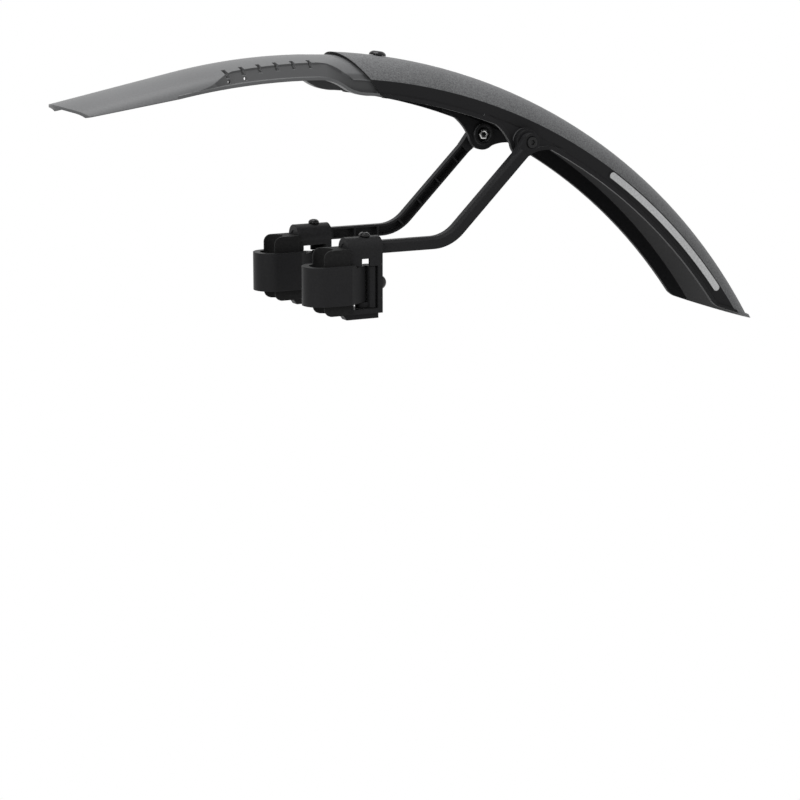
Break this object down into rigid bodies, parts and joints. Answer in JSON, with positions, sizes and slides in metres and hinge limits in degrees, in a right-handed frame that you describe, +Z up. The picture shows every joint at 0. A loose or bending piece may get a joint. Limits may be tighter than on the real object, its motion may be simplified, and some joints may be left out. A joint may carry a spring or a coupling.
{
  "type": "bicycle mudguard",
  "caption": "Curved rear bicycle mudguard with a sliding front extension, bent side arms and strap clamps for the frame stays.",
  "frame": {"origin": "midway between the two stay seats, on the mid-plane of the blade", "axes": "+X to the rear along the wheel, +Y to the rider's right, +Z up along the stays"},
  "size_m": [0.4669, 0.0874, 0.1786],
  "materials": {
    "blade_plastic": "satin moulded black plastic with a fine speckle",
    "extension_plastic": "matte moulded grey plastic",
    "black_plastic": "satin black glass-filled plastic",
    "pad_rubber": "matte black rubber",
    "strap_rubber": "smooth black elastomer",
    "black_steel": "black oxide steel",
    "bright_steel": "zinc-plated steel",
    "reflective_film": "silver-grey reflective film"
  },
  "bodies": {
    "blade": {"rear_blade": "blade_plastic", "joint_screw": "black_steel", "joint_nut": "bright_steel", "left_reflector": "reflective_film", "left_pivot_spacer": "black_plastic", "left_pivot_bolt": "black_steel", "left_pivot_nut": "bright_steel", "right_reflector": "reflective_film", "right_pivot_spacer": "black_plastic", "right_pivot_bolt": "black_steel", "right_pivot_nut": "bright_steel"},
    "extension": {"front_extension": "extension_plastic"},
    "left_arm": {"left_arm": "black_plastic"},
    "left_clamp": {"left_clamp_body": "black_plastic", "left_clamp_pad": "pad_rubber", "left_clamp_strap": "strap_rubber", "left_strap_tensioner": "black_plastic", "left_tension_screw": "black_steel", "left_set_screw": "black_steel"},
    "right_arm": {"right_arm": "black_plastic"},
    "right_clamp": {"right_clamp_body": "black_plastic", "right_clamp_pad": "pad_rubber", "right_clamp_strap": "strap_rubber", "right_strap_tensioner": "black_plastic", "right_tension_screw": "black_steel", "right_set_screw": "black_steel"}
  },
  "joints": [
    {"name": "extension_slide", "type": "hinge", "parent": "blade", "child": "extension", "pos_m": [0, 0, -0.2388], "axis": [0, 1, 0], "range_deg": [-5, 0]},
    {"name": "left_arm_swing", "type": "hinge", "parent": "blade", "child": "left_arm", "pos_m": [0.13926, -0.03, 0.07531], "axis": [0, 1, 0], "range_deg": [-60, 25]},
    {"name": "left_clamp_slide", "type": "slide", "parent": "left_arm", "child": "left_clamp", "axis": [1, 0, 0], "range_m": [-0.008, 0]},
    {"name": "right_arm_swing", "type": "hinge", "parent": "blade", "child": "right_arm", "pos_m": [0.13926, 0.03, 0.07531], "axis": [0, 1, 0], "range_deg": [-60, 25]},
    {"name": "right_clamp_slide", "type": "slide", "parent": "right_arm", "child": "right_clamp", "axis": [1, 0, 0], "range_m": [-0.008, 0]}
  ]
}
